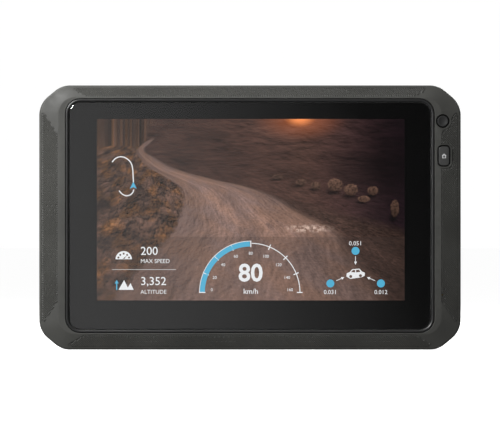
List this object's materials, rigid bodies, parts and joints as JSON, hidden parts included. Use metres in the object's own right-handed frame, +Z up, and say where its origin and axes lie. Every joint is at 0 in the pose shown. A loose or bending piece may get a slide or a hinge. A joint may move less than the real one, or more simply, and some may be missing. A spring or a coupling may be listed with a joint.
{
  "type": "handheld navigation device",
  "caption": "Rugged handheld navigator with a wide touch screen, front and side keys, a sealed socket door and threaded inserts on its back.",
  "frame": {"origin": "middle of the lower edge it stands on, half way between the front rim and the back face", "axes": "+X to the right as the user sees the screen, -Y out of the screen, +Z up"},
  "size_m": [0.211, 0.024, 0.1323],
  "materials": {
    "case": "fine moulded grain, with micro-diamond grip bands",
    "trim": "semi-gloss",
    "cover_glass": "flat and glossy, printed black round the picture",
    "tape": "foam tape",
    "display": "polarised liquid crystal panel",
    "diffuser": "white diffuser stack",
    "sheet_steel": "stamped sheet",
    "flex": "polyimide film",
    "chassis": "pressed sheet",
    "fixings": "zinc plated",
    "circuit_board": "solder mask",
    "antenna_ceramic": "fired, unglazed",
    "cell": "pouch laminate in a sleeve",
    "key": "satin moulded",
    "side_key": "satin moulded",
    "switch": "dome switch cover",
    "door": "fine moulded grain",
    "seal": "silicone rubber",
    "card": "moulded",
    "socket_plastic": "glass filled, moulded",
    "window": "polished",
    "ring_metal": "anodised dark",
    "lens": "frosted lens",
    "led": "phosphor",
    "contact": "gold plated",
    "membrane": "expanded film",
    "insert": "knurled, turned",
    "case_screw": "blackened"
  },
  "bodies": {
    "case": {"front_bezel": "case", "rear_cover": "case", "housing_seal": "seal", "trim_ring": "trim", "cover_glass": "cover_glass", "glass_tape": "tape", "lcd_panel": "display", "backlight_unit": "diffuser", "display_tray": "sheet_steel", "display_flex": "flex", "chassis_plate": "chassis", "chassis_screws": "fixings", "main_board": "circuit_board", "board_screws": "fixings", "shield_cans": "sheet_steel", "gnss_antenna": "antenna_ceramic", "wireless_antenna": "flex", "battery_pack": "cell", "battery_bracket": "sheet_steel", "key_board": "circuit_board", "key_switches": "switch", "key_board_screws": "fixings", "microphone": "sheet_steel", "volume_board": "circuit_board", "volume_switches": "switch", "port_door_pin": "fixings", "usb_socket": "sheet_steel", "card_socket": "sheet_steel", "audio_jack": "socket_plastic", "camera_module": "socket_plastic", "camera_window": "window", "camera_ring": "ring_metal", "flash_lens": "lens", "flash_led": "led", "speaker_driver": "socket_plastic", "speaker_gasket": "seal", "speaker_mesh": "ring_metal", "dock_contact_block": "socket_plastic", "dock_contacts": "contact", "vent_membrane": "membrane", "mount_inserts": "insert", "case_inserts": "insert", "case_screws": "case_screw"},
    "power_button": {"power_button": "key"},
    "home_button": {"home_button": "key"},
    "volume_up_key": {"volume_up_key": "side_key"},
    "volume_down_key": {"volume_down_key": "side_key"},
    "port_door": {"port_door": "door", "port_door_seal": "seal"},
    "memory_card": {"memory_card": "card"}
  },
  "joints": [
    {"name": "power_press", "type": "slide", "parent": "case", "child": "power_button", "axis": [0, 1, 0], "range_m": [0, 0.0006], "stiffness_N_per_m": 2000},
    {"name": "home_press", "type": "slide", "parent": "case", "child": "home_button", "axis": [0, 1, 0], "range_m": [0, 0.0006], "stiffness_N_per_m": 2000},
    {"name": "volume_up_press", "type": "slide", "parent": "case", "child": "volume_up_key", "axis": [0, 0, -1], "range_m": [0, 0.0005], "stiffness_N_per_m": 2000},
    {"name": "volume_down_press", "type": "slide", "parent": "case", "child": "volume_down_key", "axis": [0, 0, -1], "range_m": [0, 0.0005], "stiffness_N_per_m": 2000},
    {"name": "port_door_hinge", "type": "hinge", "parent": "case", "child": "port_door", "pos_m": [-0.1043, 0.005, 0.08715], "axis": [0, 0, -1], "range_deg": [0, 95]},
    {"name": "memory_card_slide", "type": "slide", "parent": "case", "child": "memory_card", "axis": [-1, 0, 0], "range_m": [-0.0006, 0.0012]}
  ]
}
